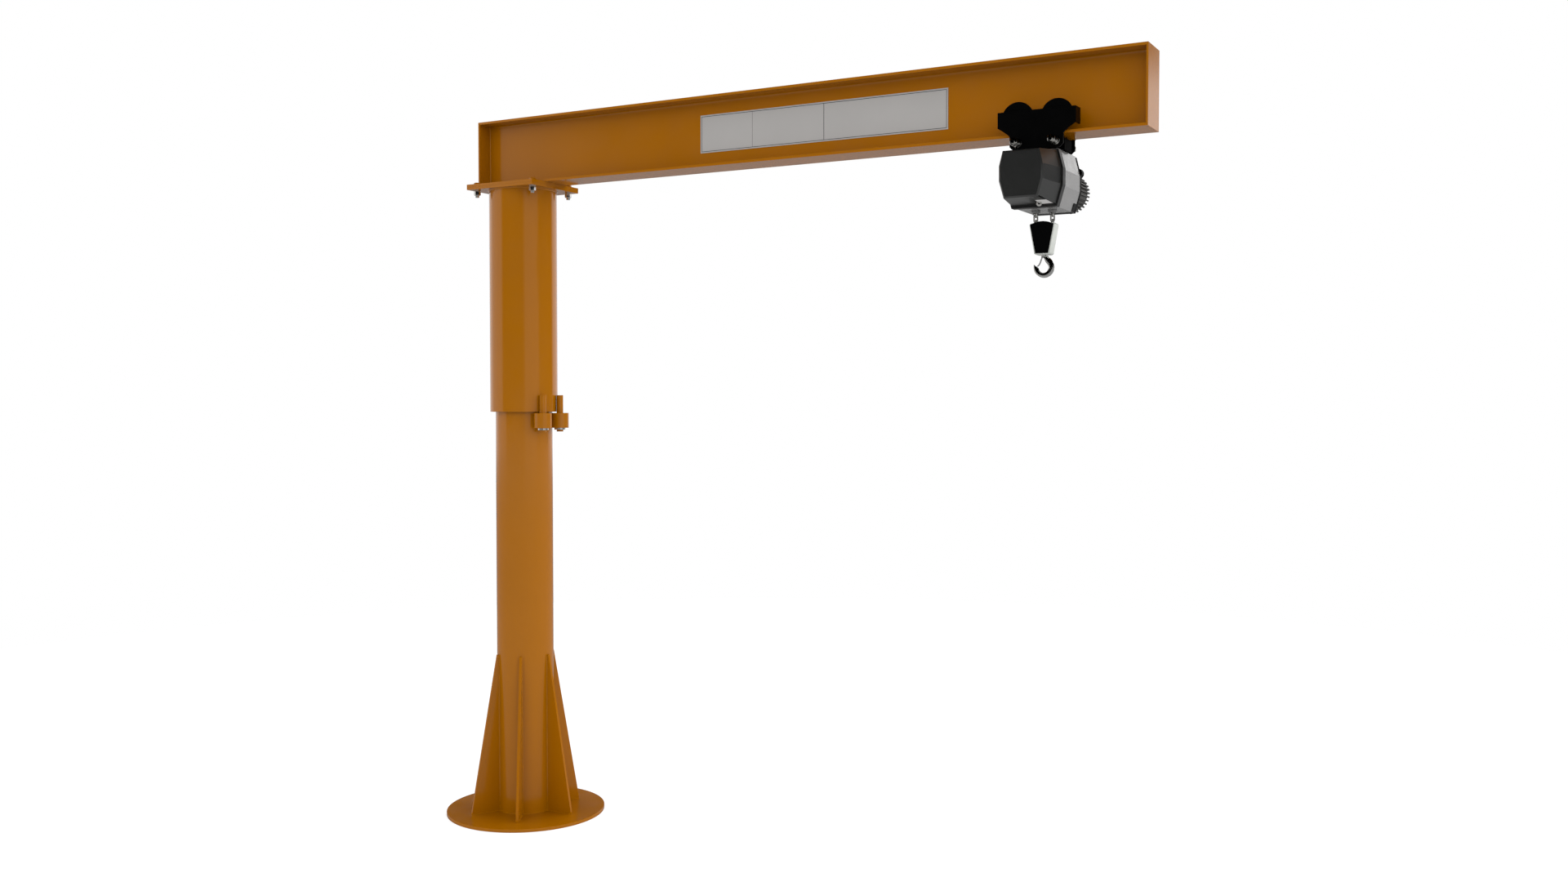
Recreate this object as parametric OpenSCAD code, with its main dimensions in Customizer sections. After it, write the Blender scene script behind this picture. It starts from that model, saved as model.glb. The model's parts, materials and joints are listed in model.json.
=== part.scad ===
// Free-standing jib crane: a round mast on a base plate, a sleeve that turns on the
// mast with an I-beam boom bolted to its head, and an electric chain hoist that hangs
// under the boom from a four-wheel push trolley.
// Millimetres, +Z up, the origin at the centre of the base plate's underside.
// The boom points along +X at rest.

/* [Base] */
// Diameter of the round base plate
base_d = 762; // [600:2:1000]
// Thickness of the base plate
base_t = 16; // [12:1:30]
// Height of the six gussets above the base plate
gusset_h = 762; // [400:2:900]
// Bare edge of the base plate outside the foot of a gusset
base_edge = 104.8; // [60:0.1:130]
// Plate thickness of a gusset
gusset_t = 12.7; // [8:0.1:20]
// Width of the flat land at the top of a gusset
gusset_land = 9.5; // [5:0.5:25]
// Height of the upright toe at the foot of a gusset
gusset_toe = 9; // [4:1:30]

/* [Mast] */
// Outer diameter of the mast pipe
mast_d = 273; // [220:1:290]
// Wall of the mast pipe
mast_wall = 9.3; // [6:0.1:16]
// Thickness of the plate that closes the top of the mast
mast_cap_t = 16; // [10:1:30]
// Diameter of the pivot pin on top of the mast
pivot_d = 50; // [30:1:70]
// Thickness of the bronze thrust washer round the pivot pin
washer_t = 6; // [3:0.5:12]
// Outer diameter of the thrust washer and of the hub that rests on it
hub_d = 110; // [90:1:200]
// Height of the hub that turns on the pivot pin
hub_h = 50; // [30:1:90]
// Space between the top of the pivot pin and the sleeve plate
pivot_head_gap = 3; // [1:0.5:10]

/* [Sleeve] */
// Outer diameter of the sleeve
sleeve_d = 323.8; // [310:0.2:332]
// Wall of the sleeve
sleeve_wall = 9.5; // [6:0.1:14]
// Length of the sleeve
sleeve_len = 1067; // [700:1:1400]
// Size along the boom of the two bolted head plates
head_x = 396; // [360:1:500]
// Size across the boom of the two bolted head plates
head_y = 356; // [340:1:450]
// Thickness of each head plate
head_t = 12.7; // [8:0.1:20]
// Distance along the boom from a plate edge to a bolt
head_bolt_edge_x = 30; // [25:1:50]
// Distance across the boom from a plate edge to a bolt
head_bolt_edge_y = 41; // [25:1:60]
// Diameter of the bolt holes in the head plates
head_bolt_hole_d = 21; // [12:0.5:26]

/* [Guide rollers] */
// Diameter of a guide roller
roller_d = 85.2; // [76:0.2:96]
// Length of a guide roller
roller_len = 72; // [40:1:100]
// Gap between the sleeve's lower end and the rollers
roller_gap = 6; // [2:0.5:12]
// Angle of each roller from the boom's direction
roller_angle = 21.5; // [17:0.5:40]
// Diameter of the pin that a roller turns on
roller_pin_d = 31.8; // [20:0.2:40]
// Length of roller pin that is welded along the outside of the sleeve
roller_pin_weld = 80; // [40:1:160]
// Diameter of the washer that holds a roller on its pin
roller_washer_d = 54; // [50:1:70]
// Thickness of that washer
roller_washer_t = 8; // [4:1:12]
// Length of pin that stands out below the washer
roller_pin_end = 10; // [4:1:20]

/* [Boom] */
// Height of the boom's underside above the floor
boom_under = 3048; // [2600:1:4000]
// Reach of the boom's tip from the mast's centre line
boom_tip = 3057; // [3000:1:4500]
// Overhang of the boom's heel behind the mast's centre line
boom_heel = 208; // [200:1:400]
// Depth of the I-beam
beam_h = 313.4; // [300:0.2:400]
// Flange width of the I-beam
beam_w = 165; // [150:1:175]
// Flange thickness of the I-beam
flange_t = 11.2; // [8:0.2:14]
// Web thickness of the I-beam
web_t = 6.6; // [5:0.2:12]
// Radius between the web and a flange
root_r = 9; // [4:0.5:14]
// Thickness of the plates that close the heel and the tip
end_plate_t = 8; // [6:0.5:14]

/* [Trolley] */
// Distance of the trolley's middle from the boom's tip at rest
trolley_from_tip = 431; // [400:1:1600]
// Tread diameter of a trolley wheel
wheel_d = 117; // [100:1:130]
// How far the wheel's guide flange stands out from its tread
wheel_lip = 7.5; // [4:0.5:10]
// Thickness of the wheel's guide flange
wheel_lip_t = 7; // [4:0.5:10]
// Tread width of a trolley wheel
wheel_tread = 30; // [20:1:40]
// Chamfer round the edges of a wheel
wheel_edge = 1.5; // [0.5:0.5:3]
// Gap between the wheel's guide flange and the edge of the beam
side_gap = 3; // [2:0.5:8]
// Gap between a wheel and its side plate
plate_gap = 2; // [1:0.5:6]
// Distance between the two wheels of one side
wheel_pitch = 160; // [150:1:200]
// Diameter of a wheel axle
axle_d = 25; // [16:1:36]
// How far the end of an axle stands out past its wheel
axle_end = 2; // [1:0.5:5]
// Thickness of the side plates
side_t = 8; // [6:0.5:12]
// Height of the side plates' band that carries the axles
band_h = 70; // [60:1:90]
// Height of the band's top above the boom's underside
band_top = 98; // [96:1:120]
// Distance from the bent-in end of a side plate to the nearer wheel
end_gap = 5; // [5:0.5:20]
// How far the ends of a side plate are bent in towards the web
end_return = 50; // [20:1:60]
// Width of the bevels at the lower corners of the band
band_bevel_w = 14; // [8:1:20]
// Height of those bevels
band_bevel_h = 8; // [4:1:14]
// Edge of the front plate's skirt outside each suspension rod
skirt_edge = 32.5; // [22:0.5:40]
// Edge of the back plate's skirt outside each suspension rod
back_skirt_edge = 16.5; // [14:0.5:40]
// Bevel at the lower corners of the skirts
skirt_bevel = 14; // [6:1:20]
// Height over which a skirt widens to meet the band
skirt_shoulder = 9; // [5:1:20]
// How far the skirts reach below the beam
skirt_drop = 55; // [45:1:60]
// Distance between the two suspension rods
rod_pitch = 153; // [110:1:156]
// Diameter of a suspension rod
rod_d = 19; // [12:1:24]
// Height of the rods below the beam
rod_drop = 29; // [22:1:36]
// Length of rod that stands out past the front plate
rod_front = 62; // [30:1:80]
// Length of rod that stands out past the back plate
rod_back = 38; // [30:1:60]
// Length across the beam of the lug that hangs on the rods
lug_len = 90; // [50:1:120]
// Edge of the lug outside each suspension rod
lug_edge = 20; // [15:1:30]
// Height of the lug above the centre line of the rods
lug_over = 18; // [13:1:21]

/* [Hoist] */
// Height from the boom's underside to the top of the hoist body
hoist_drop = 58; // [56:1:90]
// Height of the hoist body
hoist_h = 226; // [200:1:260]
// Greatest width of the hoist body
hoist_w = 212; // [195:1:240]
// Width of the flat top of the hoist body
hoist_top_w = 170; // [140:1:185]
// Width of the flat underside of the hoist body
hoist_bottom_w = 165; // [140:1:185]
// Height of the upright part of the hoist body's sides
hoist_side_h = 62; // [40:1:90]
// Distance from the chain's plane to the body's front end
body_front = 90; // [70:1:120]
// Distance from the chain's plane to the body's back end
body_back = 128; // [90:1:160]
// Thickness of the dark rim behind the front cover
rim_t = 35; // [15:1:60]
// How far the rim stands out from the body's sides
rim_lip = 10; // [6:1:16]
// How far the rim's top edge lies below the body's top
rim_top = 8; // [2:1:12]
// How far the rim reaches below the body
rim_bottom = 2; // [1:0.5:8]
// Depth of the front cover
cover_len = 160; // [80:1:200]
// How far the front cover stands inside the rim's edge
cover_inset = 6; // [2:1:8]
// How far the cover's top edge lies below the rim's
cover_step = 5; // [1:1:12]
// How far the sides of the front cover draw in towards its face
cover_taper = 23; // [8:1:36]
// How far the cover's top slopes down towards its face
cover_top_slope = 14; // [4:1:30]
// How far the cover's underside lies above the body's at the rim
cover_lift = 8; // [1:1:12]
// How far the cover's underside slopes up towards its face
cover_bottom_slope = 10; // [4:1:30]
// Bevel round the cover's face
cover_bevel = 6; // [2:1:12]
// Place of the slack chain's outlet beside the middle of the cover
outlet_x = 55; // [30:1:60]
// Radius of the slack chain's outlet
outlet_r = 27; // [15:1:32]
// Cover left standing in front of the outlet
outlet_front = 10; // [7:1:30]
// Thickness of the dark end plate behind the body
end_cover_t = 12; // [6:1:20]
// How far the end plate stands out from the body's sides
end_lip = 2; // [0.5:0.5:6]
// How far the end plate's top edge lies below the body's top
end_top = 4; // [0:1:10]
// How far the end plate reaches below the body
end_bottom = 1; // [1:1:16]
// Diameter over the fins of the motor
motor_d = 160; // [120:1:162]
// Length of the finned motor
motor_len = 214; // [120:1:260]
// Depth of the motor's centre line below the top of the hoist body
motor_drop = 120; // [105:1:125]
// Bevel round the far end of the motor
motor_bevel = 12; // [4:1:20]
// Depth of the cooling fins
fin_h = 8; // [4:0.5:10]
// Number of cooling fins round the motor
fin_count = 32; // [24:1:40]
// Thickness of a cooling fin
fin_t = 6; // [3:0.5:7]
// Bare length of motor past the end of the fins
fin_short = 5; // [4:1:40]
// Diameter of the cable entry beside the motor
entry_d = 40; // [24:1:44]
// Length of the cable entry
entry_len = 34; // [20:1:60]
// Bevel round the end of the cable entry
entry_bevel = 6; // [2:1:10]
// Distance from the body's side to the cable entry's centre line
entry_edge = 16; // [14:1:24]
// Depth of the cable entry below the top of the hoist body
entry_drop = 66; // [56:1:76]

/* [Chain and hook block] */
// Distance between the two falls of chain
fall_pitch = 69; // [60:1:76]
// Wire diameter of the load chain
chain_d = 6.8; // [5:0.1:8]
// Inside length of a chain link
link_pitch = 20; // [18:0.1:24]
// Inside width of a chain link
link_gap = 8.4; // [7.8:0.1:10]
// Outer diameter of the guide bosses that the chain leaves by
guide_d = 36; // [32:1:44]
// Height of the guide bosses
guide_h = 10; // [6:1:20]
// Number of chain links in each fall
link_count = 5; // [4:1:8]
// Depth of the chain's pockets in the hoist body
pocket_depth = 26; // [20:1:40]
// Space round a turned link in its pocket
pocket_play = 2; // [1:0.5:4]
// Depth of the chain's pockets in the hook block
block_pocket = 36; // [30:1:50]
// Height of the hook block
block_h = 124; // [100:1:160]
// Width of the hook block at its top
block_top_w = 106; // [100:1:130]
// Width of the hook block at its bottom
block_bottom_w = 62; // [50:1:80]
// Thickness of the hook block across the boom
block_t = 56; // [48:1:70]
// Thickness of the cheek plates on the block's faces
cheek_t = 3; // [2:0.5:5]
// Bare edge round a cheek plate
cheek_edge = 5; // [3:0.5:10]
// Height of the arch along the top of a cheek plate
cheek_crown = 12; // [4:1:20]
// Radius of the hook block's corners
block_corner_r = 8; // [2:1:14]
// Inner radius of the hook's bowl
hook_bowl_r = 20; // [17:0.5:24]
// Width of the hook at the back of its bowl
hook_back_w = 23; // [18:0.5:28]
// Width of the hook below its tip
hook_tip_w = 18.5; // [14:0.5:22]
// How far the tip leans out past the bowl
hook_tip_out = 22; // [14:0.5:26]
// Height of the neck's inner corner above the bowl's centre
hook_eye_h = 45; // [38:0.5:48]
// Height of the hook's shoulder above that corner
hook_shoulder = 2; // [1:0.5:4]
// Gap between the hook's shoulder and the block
hook_neck = 3.5; // [2:0.5:10]
// Thickness of the hook across its plane
hook_t = 19; // [14:1:24]
// Thickness of the hook at its tip
hook_tip_t = 9; // [6:1:14]
// Diameter of the hook's shank
shank_d = 20; // [16:1:22]
// Length of shank that turns in the hook block
shank_in = 28; // [15:1:34]
// Thickness of the sprung safety latch
latch_t = 2; // [1.5:0.5:3]
// Width of the latch across the hook's plane
latch_w = 12; // [8:1:14]
// Distance of that barrel from the shank's centre line
latch_barrel_in = 6.2; // [6:0.1:7]
// Diameter of the barrel that the latch turns on
latch_barrel_d = 6; // [4:0.5:6.5]

/* [Hidden] */
$fn = 96;

// Running clearance on the radius of a pin or a shaft
run_gap = 0.05;
// Gap between curved faces that roll or rest on each other
seat_gap = 0.3;
// Overshoot of a cut past the face that it opens
over = 1;

// Reach of a gusset's foot out from the mast
gusset_reach = base_d / 2 - base_edge - mast_d / 2;

// Heights of the head, from the boom's underside down
seat_plate_z = boom_under - head_t;
sleeve_top_z = seat_plate_z - head_t;
hub_z = sleeve_top_z - hub_h;
washer_z = hub_z - seat_gap - washer_t;
cap_z = washer_z - mast_cap_t;
sleeve_bottom_z = sleeve_top_z - sleeve_len;
pin_bore_d = pivot_d + 2 * run_gap;

// Head plate bolts
head_bolt_x = head_x / 2 - head_bolt_edge_x;
head_bolt_y = head_y / 2 - head_bolt_edge_y;

// Guide rollers: the pins lie along the sleeve, the rollers run on the mast
roller_reach = mast_d / 2 + seat_gap + roller_d / 2;
roller_z = sleeve_bottom_z - roller_gap - roller_len;
roller_washer_z = roller_z - seat_gap - roller_washer_t;
roller_pin_z = roller_washer_z - roller_pin_end;

// Middle of the trolley along the boom
trolley_x = boom_tip - trolley_from_tip;
// Wheels run on top of the lower flange
wheel_z = boom_under + flange_t + seat_gap + wheel_d / 2;
wheel_lip_y = beam_w / 2 + side_gap;
wheel_out_y = wheel_lip_y + wheel_lip_t;
side_in_y = wheel_out_y + plate_gap;
side_out_y = side_in_y + side_t;
plate_half = wheel_pitch / 2 + wheel_d / 2 + wheel_lip + end_gap + side_t;
band_bottom = band_top - band_h;
axle_end_y = wheel_lip_y - wheel_tread - axle_end;

// Suspension rods
rod_z = boom_under - rod_drop;
rod_hole_d = rod_d + 2 * seat_gap;

// Hoist heights, from the top down
hoist_top = boom_under - hoist_drop;
hoist_bottom = hoist_top - hoist_h;
rim_y = -body_front - rim_t;
face_y = rim_y - cover_len;
motor_y = body_back + end_cover_t;
upper_bevel = atan2(hoist_h - hoist_side_h, hoist_w - hoist_top_w);
lower_bevel = atan2(hoist_h - hoist_side_h, hoist_w - hoist_bottom_w);

// Chain: each link hangs in the one above with a little play
link_play = 0.2;
link_step = link_pitch - link_play;
link_outer = link_pitch + 2 * chain_d;
chain_top_z = hoist_bottom + pocket_depth - seat_gap;
chain_bottom_z = chain_top_z - (link_count - 1) * link_step - link_outer;
pocket_d = link_gap + 2 * chain_d + 2 * pocket_play;

// Hook block hangs on the chain, whose last links sit in its pockets
block_top_z = chain_bottom_z - seat_gap + block_pocket;
block_bottom_z = block_top_z - block_h;
shank_socket = shank_in + 2;
bowl_z = block_bottom_z - hook_neck - hook_shoulder - hook_eye_h;

// ---- Base and mast ----

module base_plate() {
    color("orange")
    cylinder(d = base_d, h = base_t);
}

// A tapered stiffener that stands on the base and against the mast
module gusset(i) {
    color("orange")
    rotate([0, 0, (i - 1) * 60])
    translate([mast_d / 2, gusset_t / 2, base_t])
    rotate([90, 0, 0])
    linear_extrude(gusset_t)
    polygon([[0, 0], [gusset_reach, 0], [gusset_reach, gusset_toe],
        [gusset_land, gusset_h], [0, gusset_h]]);
}

module mast_pipe() {
    color("orange")
    translate([0, 0, base_t])
    difference() {
        cylinder(d = mast_d, h = cap_z - base_t);
        translate([0, 0, -over])
        cylinder(d = mast_d - 2 * mast_wall, h = cap_z - base_t + 2 * over);
    }
}

module mast_cap() {
    color("orange")
    translate([0, 0, cap_z])
    cylinder(d = mast_d, h = mast_cap_t);
}

module thrust_washer() {
    color("goldenrod")
    translate([0, 0, washer_z])
    difference() {
        cylinder(d = hub_d, h = washer_t);
        translate([0, 0, -over])
        cylinder(d = pivot_d + 2 * seat_gap, h = washer_t + 2 * over);
    }
}

module pivot_pin() {
    color("silver")
    translate([0, 0, washer_z])
    cylinder(d = pivot_d, h = sleeve_top_z - pivot_head_gap - washer_z);
}

// ---- Sleeve and head ----

module sleeve() {
    color("orange")
    translate([0, 0, sleeve_bottom_z])
    difference() {
        cylinder(d = sleeve_d, h = sleeve_len);
        translate([0, 0, -over])
        cylinder(d = sleeve_d - 2 * sleeve_wall, h = sleeve_len + 2 * over);
    }
}

module pivot_hub() {
    color("silver")
    translate([0, 0, hub_z])
    difference() {
        cylinder(d = hub_d, h = hub_h);
        translate([0, 0, -over])
        cylinder(d = pin_bore_d, h = hub_h + 2 * over);
    }
}

// One of the two head plates, with a bolt hole near each corner
module head_plate(z) {
    color("orange")
    translate([0, 0, z])
    difference() {
        translate([-head_x / 2, -head_y / 2, 0])
        cube([head_x, head_y, head_t]);
        for (sx = [-1, 1], sy = [-1, 1])
            translate([sx * head_bolt_x, sy * head_bolt_y, -over])
            cylinder(d = head_bolt_hole_d, h = head_t + 2 * over);
    }
}

module sleeve_plate() {
    head_plate(sleeve_top_z);
}

module boom_seat_plate() {
    head_plate(seat_plate_z);
}

// A round bar welded along the outside of the sleeve, with the washer that keeps the
// roller on its lower end
module roller_pin(side) {
    color("orange")
    rotate([0, 0, side * roller_angle])
    translate([roller_reach, 0, 0]) {
        translate([0, 0, roller_pin_z])
        cylinder(d = roller_pin_d, h = sleeve_bottom_z + roller_pin_weld - roller_pin_z);
        translate([0, 0, roller_washer_z])
        cylinder(d = roller_washer_d, h = roller_washer_t);
    }
}

module guide_roller(side) {
    color("orange")
    rotate([0, 0, side * roller_angle])
    translate([roller_reach, 0, roller_z])
    difference() {
        cylinder(d = roller_d, h = roller_len);
        translate([0, 0, -over])
        cylinder(d = roller_pin_d + 2 * run_gap, h = roller_len + 2 * over);
    }
}

// ---- Boom ----

// Half of the I-section, from the web's centre line outwards, with the rolled root radii
module beam_half() {
    square([beam_w / 2, flange_t]);
    translate([0, beam_h - flange_t])
    square([beam_w / 2, flange_t]);
    square([web_t / 2, beam_h]);
    difference() {
        translate([0, flange_t])
        square([web_t / 2 + root_r, beam_h - 2 * flange_t]);
        translate([web_t / 2 + root_r, flange_t + root_r])
        circle(r = root_r);
        translate([web_t / 2 + root_r, beam_h - flange_t - root_r])
        circle(r = root_r);
        translate([web_t / 2, flange_t + root_r])
        square([root_r + over, beam_h - 2 * flange_t - 2 * root_r]);
    }
}

module boom_beam() {
    color("orange")
    translate([end_plate_t - boom_heel, 0, boom_under])
    rotate([90, 0, 90])
    linear_extrude(boom_heel + boom_tip - 2 * end_plate_t)
    union() {
        beam_half();
        mirror([1, 0])
        beam_half();
    }
}

module boom_end_plate(x) {
    color("orange")
    translate([x, -beam_w / 2, boom_under])
    cube([end_plate_t, beam_w, beam_h]);
}

module heel_plate() {
    boom_end_plate(-boom_heel);
}

module tip_plate() {
    boom_end_plate(boom_tip - end_plate_t);
}

// ---- Trolley ----

// Right half of a side plate's outline, from the band's top down to the middle of a skirt
// that reaches half out from the middle
function plate_side(half) = [[plate_half, band_top], [plate_half, band_bottom + band_bevel_h],
    [plate_half - band_bevel_w, band_bottom], [half + skirt_shoulder, skirt_shoulder], [half, 0],
    [half, skirt_bevel - skirt_drop], [half - skirt_bevel, -skirt_drop]];

// Side plate on +Y: the band with its bent-in ends, the skirt and two stub axles
module side_plate(edge) {
    right = plate_side(rod_pitch / 2 + edge);
    last = len(right) - 1;
    difference() {
        union() {
            translate([0, side_out_y, boom_under])
            rotate([90, 0, 0])
            linear_extrude(side_t)
            polygon(concat(right, [for (i = [last:-1:0]) [-right[i][0], right[i][1]]]));
            for (sx = [-1, 1])
                translate([sx * (plate_half - side_t / 2) - side_t / 2, side_out_y - end_return - side_t,
                    boom_under + band_bottom + band_bevel_h])
                cube([side_t, end_return + side_t, band_h - band_bevel_h]);
            for (sx = [-1, 1])
                translate([sx * wheel_pitch / 2, side_out_y, wheel_z])
                rotate([90, 0, 0])
                cylinder(d = axle_d, h = side_out_y - axle_end_y);
        }
        for (sx = [-1, 1])
            translate([sx * rod_pitch / 2, side_out_y + over, rod_z])
            rotate([90, 0, 0])
            cylinder(d = rod_hole_d, h = side_t + 2 * over);
    }
}

module trolley_plate_front() {
    color("black")
    translate([trolley_x, 0, 0])
    mirror([0, 1, 0])
    side_plate(skirt_edge);
}

module trolley_plate_back() {
    color("black")
    translate([trolley_x, 0, 0])
    side_plate(back_skirt_edge);
}

// A wheel with its guide flange on the outer side, turned in one piece
module wheel(sx, sy) {
    bore_r = axle_d / 2 + run_gap;
    tread_r = wheel_d / 2;
    lip_r = tread_r + wheel_lip;
    full_w = wheel_lip_t + wheel_tread;
    color("dimgray")
    translate([trolley_x + sx * wheel_pitch / 2, sy * wheel_out_y, wheel_z])
    rotate([sy * 90, 0, 0])
    rotate_extrude()
    polygon([[bore_r, 0], [lip_r - wheel_edge, 0], [lip_r, wheel_edge], [lip_r, wheel_lip_t - wheel_edge],
        [tread_r, wheel_lip_t], [tread_r, full_w - wheel_edge], [tread_r - wheel_edge, full_w],
        [bore_r, full_w]]);
}

module suspension_rod(side) {
    color("silver")
    translate([trolley_x + side * rod_pitch / 2, side_out_y + rod_back, rod_z])
    rotate([90, 0, 0])
    cylinder(d = rod_d, h = 2 * side_out_y + rod_front + rod_back);
}

// The block on top of the hoist that hangs on the two rods
module suspension_lug() {
    lug_w = rod_pitch + 2 * lug_edge;
    color("black")
    translate([trolley_x, 0, 0])
    difference() {
        translate([-lug_w / 2, -lug_len / 2, hoist_top])
        cube([lug_w, lug_len, hoist_drop - rod_drop + lug_over]);
        for (sx = [-1, 1])
            translate([sx * rod_pitch / 2, lug_len / 2 + over, rod_z])
            rotate([90, 0, 0])
            cylinder(d = rod_hole_d, h = lug_len + 2 * over);
    }
}

// ---- Hoist ----

// Eight-sided outline of the hoist: flat top and bottom, upright sides between long bevels.
// It stands out by grow from the body's sides, and reaches up and down from the body's middle
module hoist_outline(grow, up, down) {
    side = hoist_w / 2 + grow;
    upper_knee = hoist_side_h / 2 + grow * tan(45 - upper_bevel / 2);
    lower_knee = hoist_side_h / 2 + grow * tan(45 - lower_bevel / 2);
    top = side - (up - upper_knee) / tan(upper_bevel);
    bottom = side - (down - lower_knee) / tan(lower_bevel);
    polygon([[-top, up], [top, up], [side, upper_knee], [side, -lower_knee],
        [bottom, -down], [-bottom, -down], [-side, -lower_knee], [-side, upper_knee]]);
}

// A slab of that outline, its front at y and its thickness t towards +Y, with its top and
// bottom edges that much lower than the body's
module hoist_slab(y, t, grow = 0, lower_top = 0, lower_bottom = 0) {
    translate([trolley_x, y + t, hoist_top - hoist_h / 2])
    rotate([90, 0, 0])
    linear_extrude(t)
    hoist_outline(grow, hoist_h / 2 - lower_top, hoist_h / 2 + lower_bottom);
}

// The moulded cover: wide at the rim, drawn in towards a bevelled face, with the slack
// chain's outlet arched into its underside
module hoist_front_cover() {
    skin = 0.5;
    root = rim_lip - cover_inset;
    root_top = rim_top + cover_step;
    front_top = root_top + cover_top_slope;
    front_bottom = -cover_lift - cover_bottom_slope;
    color("dimgray")
    difference() {
        hull() {
            hoist_slab(rim_y - skin, skin, root, root_top, -cover_lift);
            hoist_slab(face_y + cover_bevel, skin, root - cover_taper, front_top, front_bottom);
            hoist_slab(face_y, skin, root - cover_taper - cover_bevel, front_top + cover_bevel,
                front_bottom - cover_bevel);
        }
        translate([trolley_x + outlet_x, rim_y + over, hoist_bottom])
        rotate([90, 0, 0])
        cylinder(r = outlet_r, h = cover_len - outlet_front + over);
    }
}

module hoist_rim() {
    color("black")
    hoist_slab(rim_y, rim_t, rim_lip, rim_top, rim_bottom);
}

module hoist_body() {
    color("silver")
    difference() {
        hoist_slab(-body_front, body_front + body_back);
        for (sx = [-1, 1])
            translate([trolley_x + sx * fall_pitch / 2, 0, hoist_bottom - over])
            cylinder(d = pocket_d, h = pocket_depth + over);
    }
}

module hoist_end_plate() {
    color("black")
    hoist_slab(body_back, end_cover_t, end_lip, end_top, end_bottom);
}

// Round motor with straight cooling fins along its length and a bevelled end
module motor_housing() {
    core_r = motor_d / 2 - fin_h;
    fin_root = fin_h / 3;
    color("dimgray")
    translate([trolley_x, motor_y, hoist_top - motor_drop])
    rotate([-90, 0, 0]) {
        rotate_extrude()
        polygon([[0, 0], [core_r, 0], [core_r, motor_len - motor_bevel],
            [core_r - motor_bevel, motor_len], [0, motor_len]]);
        for (i = [0:fin_count - 1])
            rotate([0, 0, i * 360 / fin_count])
            translate([core_r - fin_root, -fin_t / 2, 0])
            cube([fin_h + fin_root, fin_t, motor_len - fin_short]);
    }
}

module cable_entry() {
    entry_r = entry_d / 2;
    color("black")
    translate([trolley_x + hoist_w / 2 - entry_edge, motor_y, hoist_top - entry_drop])
    rotate([-90, 0, 0])
    rotate_extrude()
    polygon([[0, 0], [entry_r, 0], [entry_r, entry_len - entry_bevel],
        [entry_r - entry_bevel, entry_len], [0, entry_len]]);
}

// Two bosses under the body, bored for the falls of chain
module chain_guide() {
    color("black")
    for (sx = [-1, 1])
        translate([trolley_x + sx * fall_pitch / 2, 0, hoist_bottom - guide_h])
        difference() {
            cylinder(d = guide_d, h = guide_h);
            translate([0, 0, -over])
            cylinder(d = pocket_d, h = guide_h + 2 * over);
        }
}

// One welded link, its long axis upright, lying in the XZ plane
module chain_link() {
    straight = link_pitch - link_gap;
    bend_r = (link_gap + chain_d) / 2;
    for (sx = [-1, 1])
        translate([sx * bend_r, 0, -straight / 2])
        cylinder(d = chain_d, h = straight, $fn = 24);
    for (sz = [-1, 1])
        translate([0, 0, sz * straight / 2])
        rotate([90, 0, 0])
        rotate([0, 0, sz < 0 ? 180 : 0])
        rotate_extrude(angle = 180, $fn = 32)
        translate([bend_r, 0])
        circle(d = chain_d, $fn = 24);
}

module load_chain() {
    color("silver")
    for (sx = [-1, 1], i = [0:link_count - 1])
        translate([trolley_x + sx * fall_pitch / 2, 0, chain_top_z - link_outer / 2 - i * link_step])
        rotate([0, 0, i % 2 == 0 ? 45 : -45])
        chain_link();
}

// ---- Hook block ----

// Points of the arc of radius r that rounds corner q between its neighbours p and s
function corner_arc(p, q, s, r, steps = 6) = let (
    a = (p - q) / norm(p - q), b = (s - q) / norm(s - q), half = acos(a * b) / 2,
    centre = q + (a + b) / norm(a + b) * r / sin(half),
    from = q + a * r / tan(half) - centre, to = q + b * r / tan(half) - centre,
    turn = sign(from[0] * to[1] - from[1] * to[0]) * (180 - 2 * half), start = atan2(from[1], from[0]))
    [for (i = [0:steps]) centre + r * [cos(start + turn * i / steps), sin(start + turn * i / steps)]];
// Every corner of an outline rounded to radius r
function rounded(outline, r) = let (n = len(outline))
    [for (i = [0:n - 1]) each corner_arc(outline[(i + n - 1) % n], outline[i], outline[(i + 1) % n], r)];
// Tapered outline of the block, inset all round by e
function block_outline(e) = [[-block_top_w / 2 + e, block_h - e], [block_top_w / 2 - e, block_h - e],
    [block_bottom_w / 2 - e, e], [-block_bottom_w / 2 + e, e]];

module hook_block() {
    color("silver")
    difference() {
        translate([trolley_x, block_t / 2, block_bottom_z])
        rotate([90, 0, 0])
        linear_extrude(block_t)
        polygon(rounded(block_outline(0), block_corner_r));
        for (sx = [-1, 1])
            translate([trolley_x + sx * fall_pitch / 2, 0, block_top_z - block_pocket])
            cylinder(d = pocket_d, h = block_pocket + over);
        translate([trolley_x, 0, block_bottom_z - over])
        cylinder(d = shank_d + 2 * run_gap, h = shank_socket + over);
    }
}

// A plate over the block's face, arched along its top
module block_cheek(y, steps = 12) {
    corners = block_outline(cheek_edge);
    half = corners[1][0];
    crown_r = (half * half + cheek_crown * cheek_crown) / (2 * cheek_crown);
    crown_z = corners[1][1] + cheek_crown - crown_r;
    sweep = asin(half / crown_r);
    crown = [for (i = [-steps:steps]) let (turn = sweep * i / steps)
        [0, crown_z] + crown_r * [sin(turn), cos(turn)]];
    color("black")
    translate([trolley_x, y, block_bottom_z])
    rotate([90, 0, 0])
    linear_extrude(cheek_t)
    polygon(concat(crown, [corners[2], corners[3]]));
}

module block_cheek_front() {
    block_cheek(-block_t / 2);
}

module block_cheek_back() {
    block_cheek(block_t / 2 + cheek_t);
}

// The hook runs from its neck round the back of the bowl to its tip, in polar form about
// the bowl's centre
neck_angle = 96;
tip_angle = -198;
hook_steps = 42;
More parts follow.
